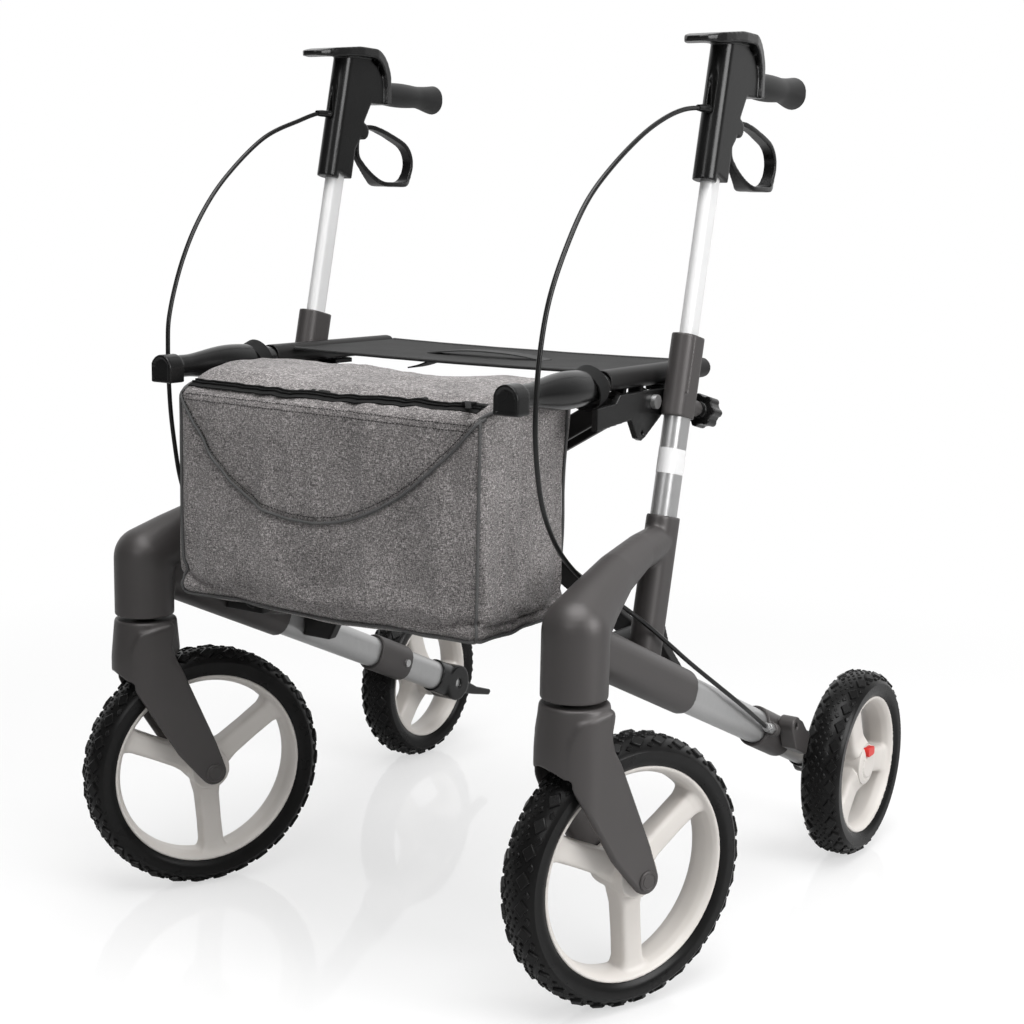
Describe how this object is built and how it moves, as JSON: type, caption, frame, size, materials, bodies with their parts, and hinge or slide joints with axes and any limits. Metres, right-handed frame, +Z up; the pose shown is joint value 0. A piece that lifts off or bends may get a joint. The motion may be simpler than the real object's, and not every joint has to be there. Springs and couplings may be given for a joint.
{
  "type": "all terrain rollator",
  "caption": "Walking frame with large knobbly wheels, swivelling front forks, height-adjustable handles with loop brake levers, a fabric seat and a front bag; it folds sideways.",
  "frame": {"origin": "on the floor, on the middle plane, halfway along the length from the front tyres to the rear tyres", "axes": "+Z up, -Y the way the walker goes, +X the walker's left"},
  "size_m": [0.7352, 0.785, 0.971],
  "materials": {
    "frame_coat": "satin",
    "silver_tube": "satin",
    "handle_tube": "satin",
    "steel": "satin",
    "black_plastic": "matte",
    "rim": "satin",
    "tyre": "matte",
    "grip_rubber": "matte",
    "cable_sheath": "satin",
    "red_button": "gloss",
    "black_bars": "satin",
    "seat_cloth": "matte",
    "bag_cloth": "matte"
  },
  "bodies": {
    "left_frame": {"left_side_frame": "frame_coat", "left_head_bearings": "steel", "left_upright_tube": "silver_tube", "left_height_clamp": "frame_coat", "left_rear_leg_tube": "silver_tube", "left_brake_mount": "frame_coat", "left_axle_housing": "black_plastic", "left_rear_axle": "steel", "left_seat_support": "black_plastic", "left_pivot_bracket": "black_bars", "left_brake_cable": "cable_sheath", "left_cable_adjuster": "steel", "left_screws": "steel"},
    "left_handle": {"left_handle_tube": "handle_tube", "left_handle_body": "black_plastic", "left_grip": "grip_rubber"},
    "left_knob": {"left_clamp_knob": "black_plastic"},
    "left_lever": {"left_brake_lever": "black_plastic"},
    "left_shoe": {"left_brake_shoe": "frame_coat"},
    "left_caster": {"left_fork": "frame_coat", "left_front_axle": "steel"},
    "left_front_wheel": {"left_front_rim": "rim", "left_front_tyre": "tyre"},
    "left_rear_wheel": {"left_rear_rim": "rim", "left_rear_tyre": "tyre"},
    "left_button": {"left_release_button": "red_button"},
    "left_rail": {"left_seat_rail": "black_bars", "left_bag_arm": "black_plastic", "seat_fabric": "seat_cloth", "bag": "bag_cloth"},
    "right_frame": {"right_side_frame": "frame_coat", "right_head_bearings": "steel", "right_upright_tube": "silver_tube", "right_height_clamp": "frame_coat", "right_rear_leg_tube": "silver_tube", "right_brake_mount": "frame_coat", "right_axle_housing": "black_plastic", "right_rear_axle": "steel", "right_seat_support": "black_plastic", "right_pivot_bracket": "black_bars", "right_brake_cable": "cable_sheath", "right_cable_adjuster": "steel", "right_screws": "steel"},
    "right_handle": {"right_handle_tube": "handle_tube", "right_handle_body": "black_plastic", "right_grip": "grip_rubber"},
    "right_knob": {"right_clamp_knob": "black_plastic"},
    "right_lever": {"right_brake_lever": "black_plastic"},
    "right_shoe": {"right_brake_shoe": "frame_coat"},
    "right_caster": {"right_fork": "frame_coat", "right_front_axle": "steel"},
    "right_front_wheel": {"right_front_rim": "rim", "right_front_tyre": "tyre"},
    "right_rear_wheel": {"right_rear_rim": "rim", "right_rear_tyre": "tyre"},
    "right_button": {"right_release_button": "red_button"},
    "right_rail": {"right_seat_rail": "black_bars", "right_bag_arm": "black_plastic"},
    "cross_a": {"cross_arm_a": "black_bars"},
    "cross_b": {"cross_arm_b": "black_bars"}
  },
  "joints": [
    {"name": "fold", "type": "hinge", "parent": "left_frame", "child": "cross_a", "pos_m": [0.219, -0.12, 0.33], "axis": [0, 1, 0], "range_deg": [0, 43], "deforming": ["seat_fabric", "bag"]},
    {"name": "cross_centre", "type": "hinge", "parent": "cross_a", "child": "cross_b", "pos_m": [0, -0.12, 0.46], "axis": [0, 1, 0], "range_deg": [-86.5, 0.5]},
    {"name": "right_pivot", "type": "hinge", "parent": "cross_b", "child": "right_frame", "pos_m": [-0.219, -0.12, 0.33], "axis": [0, 1, 0], "range_deg": [-0.5, 43.5]},
    {"name": "right_rail_pivot", "type": "hinge", "parent": "cross_a", "child": "right_rail", "pos_m": [-0.219, -0.12, 0.59], "axis": [0, 1, 0], "range_deg": [-43.5, 0.5]},
    {"name": "left_rail_pivot", "type": "hinge", "parent": "cross_b", "child": "left_rail", "pos_m": [0.219, -0.12, 0.59], "axis": [0, 1, 0], "range_deg": [-0.5, 43.5]},
    {"name": "left_handle_height", "type": "slide", "parent": "left_frame", "child": "left_handle", "axis": [0, 0.219, 0.9757], "range_m": [-0.08, 0.05], "deforming": ["left_brake_cable"]},
    {"name": "left_clamp_turn", "type": "hinge", "parent": "left_frame", "child": "left_knob", "pos_m": [0.253, -0.06796, 0.584], "axis": [0, 0.9757, -0.219], "range_deg": [0, 360]},
    {"name": "left_lever_turn", "type": "hinge", "parent": "left_handle", "child": "left_lever", "pos_m": [0.253, 0.02545, 0.872], "axis": [1, 0, 0], "range_deg": [-12, 18], "stiffness_Nm_per_rad": 2},
    {"name": "left_shoe_turn", "type": "hinge", "parent": "left_frame", "child": "left_shoe", "pos_m": [0.309, 0.13364, 0.19307], "axis": [1, 0, 0], "range_deg": [-3.2, 4.7]},
    {"name": "left_caster_swivel", "type": "hinge", "parent": "left_frame", "child": "left_caster", "pos_m": [0.282, -0.318, 0.361], "axis": [0, 0, 1], "continuous": true},
    {"name": "left_front_wheel_turn", "type": "hinge", "parent": "left_caster", "child": "left_front_wheel", "pos_m": [0.3071, -0.25588, 0.14], "axis": [0.9272, -0.3746, 0], "continuous": true},
    {"name": "left_rear_wheel_turn", "type": "hinge", "parent": "left_frame", "child": "left_rear_wheel", "pos_m": [0.3325, 0.2795, 0.115], "axis": [1, 0, 0], "continuous": true},
    {"name": "left_button_press", "type": "slide", "parent": "left_rear_wheel", "child": "left_button", "axis": [-1, 0, 0], "range_m": [0, 0.003], "stiffness_N_per_m": 400},
    {"name": "right_handle_height", "type": "slide", "parent": "right_frame", "child": "right_handle", "axis": [0, 0.219, 0.9757], "range_m": [-0.08, 0.05], "deforming": ["right_brake_cable"]},
    {"name": "right_clamp_turn", "type": "hinge", "parent": "right_frame", "child": "right_knob", "pos_m": [-0.253, -0.06796, 0.584], "axis": [0, 0.9757, -0.219], "range_deg": [0, 360]},
    {"name": "right_lever_turn", "type": "hinge", "parent": "right_handle", "child": "right_lever", "pos_m": [-0.253, 0.02545, 0.872], "axis": [1, 0, 0], "range_deg": [-12, 18], "stiffness_Nm_per_rad": 2},
    {"name": "right_shoe_turn", "type": "hinge", "parent": "right_frame", "child": "right_shoe", "pos_m": [-0.309, 0.13364, 0.19307], "axis": [1, 0, 0], "range_deg": [-3.2, 4.7]},
    {"name": "right_caster_swivel", "type": "hinge", "parent": "right_frame", "child": "right_caster", "pos_m": [-0.282, -0.318, 0.361], "axis": [0, 0, 1], "continuous": true},
    {"name": "right_front_wheel_turn", "type": "hinge", "parent": "right_caster", "child": "right_front_wheel", "pos_m": [-0.25158, -0.2583, 0.14], "axis": [0.891, -0.454, 0], "continuous": true},
    {"name": "right_rear_wheel_turn", "type": "hinge", "parent": "right_frame", "child": "right_rear_wheel", "pos_m": [-0.3325, 0.2795, 0.115], "axis": [1, 0, 0], "continuous": true},
    {"name": "right_button_press", "type": "slide", "parent": "right_rear_wheel", "child": "right_button", "axis": [1, 0, 0], "range_m": [0, 0.003], "stiffness_N_per_m": 400}
  ],
  "couplings": [
    {"joint": "cross_centre", "follows": "fold", "ratio": -2},
    {"joint": "right_pivot", "follows": "fold", "ratio": 1},
    {"joint": "right_rail_pivot", "follows": "fold", "ratio": -1},
    {"joint": "left_rail_pivot", "follows": "fold", "ratio": 1},
    {"joint": "left_shoe_turn", "follows": "left_lever_turn", "ratio": 0.25},
    {"joint": "right_shoe_turn", "follows": "right_lever_turn", "ratio": 0.25}
  ]
}
